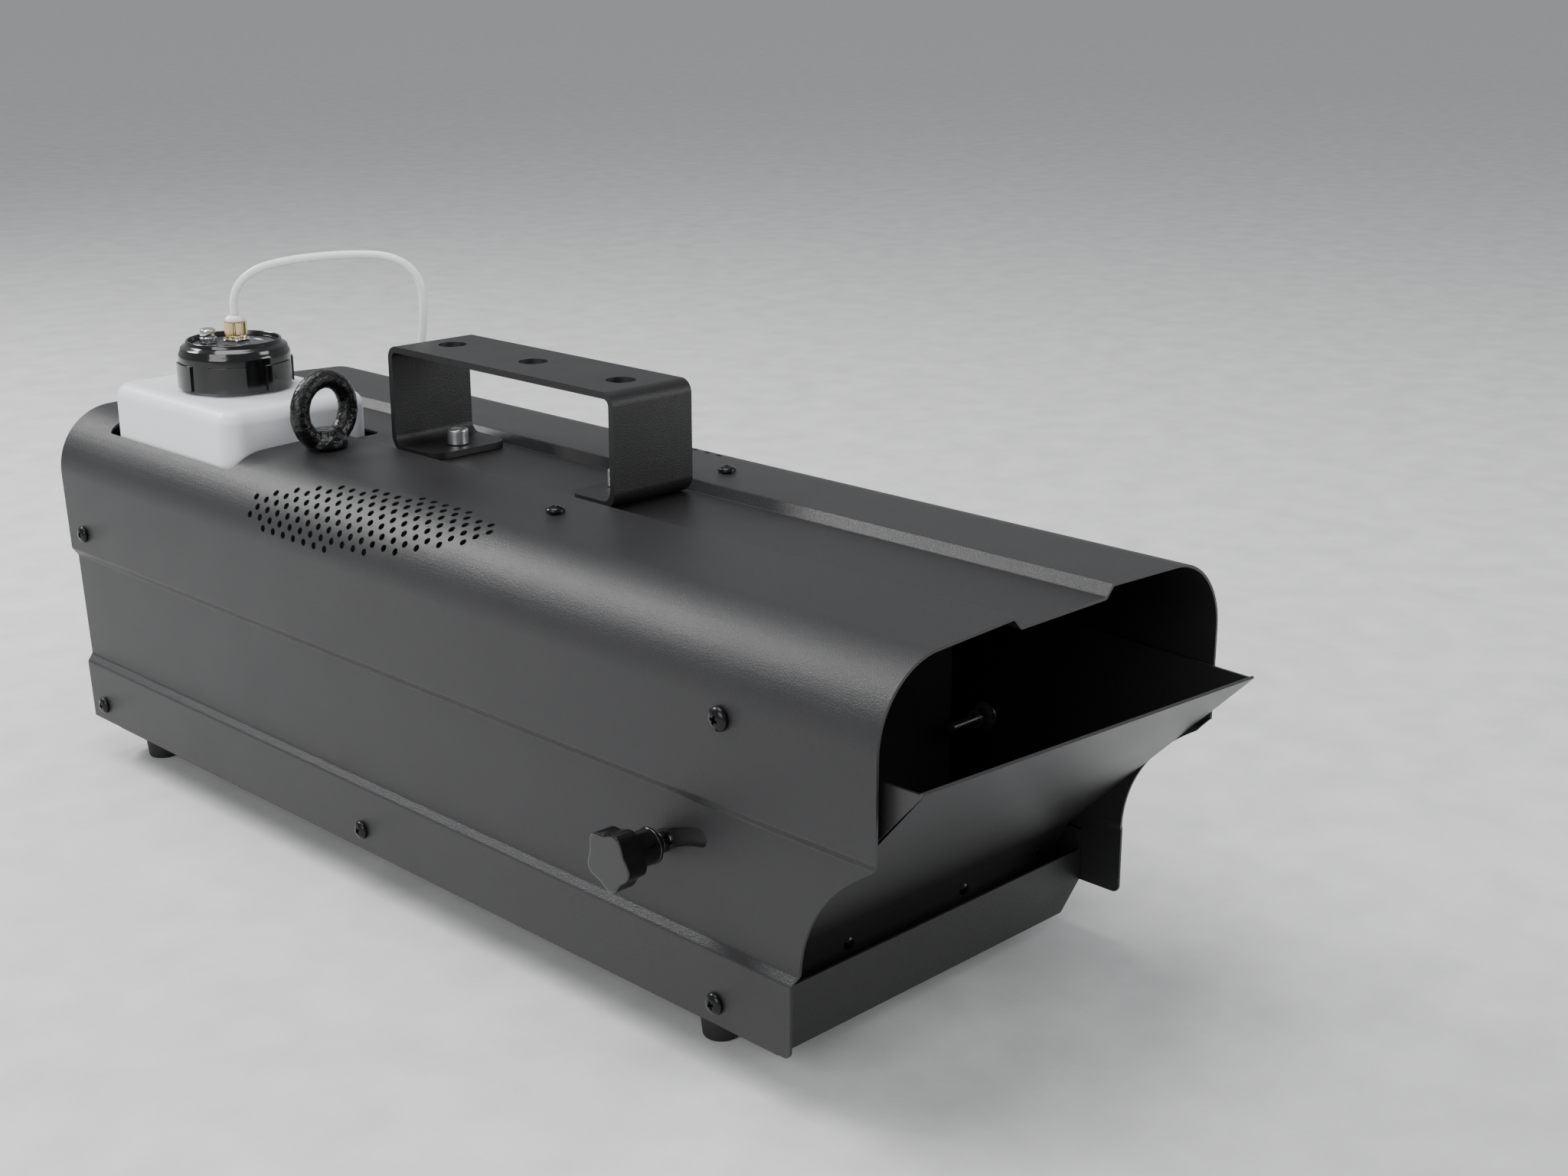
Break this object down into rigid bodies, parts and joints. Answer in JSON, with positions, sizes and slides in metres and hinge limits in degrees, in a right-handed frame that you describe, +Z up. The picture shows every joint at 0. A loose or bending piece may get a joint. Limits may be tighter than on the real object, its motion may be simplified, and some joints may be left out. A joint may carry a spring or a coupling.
{
  "type": "fog machine",
  "caption": "Long black sheet-metal fog machine with a hooded outlet, tilting deflector flap, hanging bracket, eye bolt and lift-out fluid bottle with suction tube.",
  "frame": {"origin": "middle of the machine's footprint box, on the surface its feet stand on", "axes": "+Y towards the rear panel, so fog leaves towards -Y; +Z up; +X to the right seen from the rear"},
  "size_m": [0.2512, 0.5898, 0.2696],
  "materials": {
    "case_paint": "fine textured black powder coat",
    "flap_paint": "satin black powder coat",
    "bracket_paint": "satin black powder coat",
    "inner_steel": "matt black",
    "black_fasteners": "black-oxide steel",
    "bright_steel": "zinc plated",
    "chrome": "polished plating",
    "cast_aluminium": "as cast",
    "brass": "machined",
    "feet_rubber": "moulded",
    "gloss_black_plastic": "glossy black moulding",
    "matte_black_plastic": "fine matt moulding",
    "insert_plastic": "dark grey moulding",
    "bottle_plastic": "milky translucent polyethylene",
    "tube_plastic": "translucent polymer tube",
    "circuit_board": "green lacquered board",
    "red_plastic": "translucent red rocker"
  },
  "bodies": {
    "chassis": {"cover_shell": "case_paint", "base_tray": "case_paint", "rear_panel": "case_paint", "hanging_bracket": "bracket_paint", "bracket_screw_front": "bright_steel", "bracket_screw_rear": "bright_steel", "eye_bolt": "black_fasteners", "foot_front_left": "feet_rubber", "foot_front_right": "feet_rubber", "foot_rear_left": "feet_rubber", "foot_rear_right": "feet_rubber", "side_screw_rear_upper_left": "black_fasteners", "side_screw_rear_upper_right": "black_fasteners", "side_screw_rear_lower_left": "black_fasteners", "side_screw_rear_lower_right": "black_fasteners", "side_screw_middle_left": "black_fasteners", "side_screw_middle_right": "black_fasteners", "hood_screw_left": "black_fasteners", "hood_screw_right": "black_fasteners", "top_screw_left": "black_fasteners", "top_screw_right": "black_fasteners", "pivot_screw_left": "black_fasteners", "pivot_screw_right": "black_fasteners", "heat_shield": "inner_steel", "heater_block": "cast_aluminium", "heater_support_front": "inner_steel", "heater_support_rear": "inner_steel", "fog_nozzle": "brass", "tank_tray": "inner_steel", "tube_grommet": "feet_rubber", "pump_body": "matte_black_plastic", "feed_pipe": "bright_steel", "control_board": "circuit_board", "fan_frame": "matte_black_plastic", "mains_inlet": "matte_black_plastic", "power_switch_frame": "matte_black_plastic", "dmx_input": "matte_black_plastic", "dmx_output": "matte_black_plastic", "display_module": "gloss_black_plastic", "suction_tube": "tube_plastic"},
    "flap": {"deflector_flap": "flap_paint", "clamp_nut_left": "bright_steel", "clamp_nut_right": "bright_steel"},
    "clamp_left": {"clamp_stud_left": "bright_steel", "clamp_knob_left": "gloss_black_plastic"},
    "clamp_right": {"clamp_stud_right": "bright_steel", "clamp_knob_right": "gloss_black_plastic"},
    "bottle": {"fluid_bottle": "bottle_plastic", "cap_insert": "insert_plastic", "hose_fitting": "brass", "vent_fitting": "chrome", "dip_tube": "tube_plastic"},
    "cap": {"bottle_cap": "gloss_black_plastic"},
    "rocker": {"power_rocker": "red_plastic"},
    "fan": {"fan_rotor": "matte_black_plastic"},
    "plunger": {"pump_plunger": "bright_steel"},
    "button_1": {"menu_button_1": "matte_black_plastic"},
    "button_2": {"menu_button_2": "matte_black_plastic"},
    "button_3": {"menu_button_3": "matte_black_plastic"},
    "button_4": {"menu_button_4": "matte_black_plastic"}
  },
  "joints": [
    {"name": "flap_tilt", "type": "hinge", "parent": "chassis", "child": "flap", "pos_m": [0, -0.1936, 0.0306], "axis": [1, 0, 0], "range_deg": [-3.5, 19]},
    {"name": "clamp_turn_left", "type": "hinge", "parent": "flap", "child": "clamp_left", "pos_m": [-0.11, -0.16267, 0.0864], "axis": [-1, 0, 0], "range_deg": [0, 450]},
    {"name": "clamp_turn_right", "type": "hinge", "parent": "flap", "child": "clamp_right", "pos_m": [0.11, -0.16267, 0.0864], "axis": [1, 0, 0], "range_deg": [0, 450]},
    {"name": "bottle_lift", "type": "slide", "parent": "chassis", "child": "bottle", "axis": [0, 0, 1], "range_m": [0, 0.09], "deforming": ["suction_tube"]},
    {"name": "cap_turn", "type": "hinge", "parent": "bottle", "child": "cap", "pos_m": [-0.0485, 0.2021, 0.212], "axis": [0, 0, 1], "range_deg": [0, 540]},
    {"name": "power_rocker_tilt", "type": "hinge", "parent": "chassis", "child": "rocker", "pos_m": [0.072, 0.27497, 0.04401], "axis": [1, 0, 0], "range_deg": [0, 20]},
    {"name": "menu_button_1_press", "type": "slide", "parent": "chassis", "child": "button_1", "axis": [0, -0.9964, 0.0847], "range_m": [0, 0.001], "stiffness_N_per_m": 300, "springref_m": -0.001},
    {"name": "menu_button_2_press", "type": "slide", "parent": "chassis", "child": "button_2", "axis": [0, -0.9964, 0.0847], "range_m": [0, 0.001], "stiffness_N_per_m": 300, "springref_m": -0.001},
    {"name": "menu_button_3_press", "type": "slide", "parent": "chassis", "child": "button_3", "axis": [0, -0.9964, 0.0847], "range_m": [0, 0.001], "stiffness_N_per_m": 300, "springref_m": -0.001},
    {"name": "menu_button_4_press", "type": "slide", "parent": "chassis", "child": "button_4", "axis": [0, -0.9964, 0.0847], "range_m": [0, 0.001], "stiffness_N_per_m": 300, "springref_m": -0.001},
    {"name": "fan_spin", "type": "hinge", "parent": "chassis", "child": "fan", "pos_m": [0, 0.0976, 0.107], "axis": [0, 1, 0], "continuous": true},
    {"name": "pump_stroke", "type": "slide", "parent": "chassis", "child": "plunger", "axis": [0, -1, 0], "range_m": [0, 0.003], "stiffness_N_per_m": 600, "springref_m": -0.003}
  ]
}
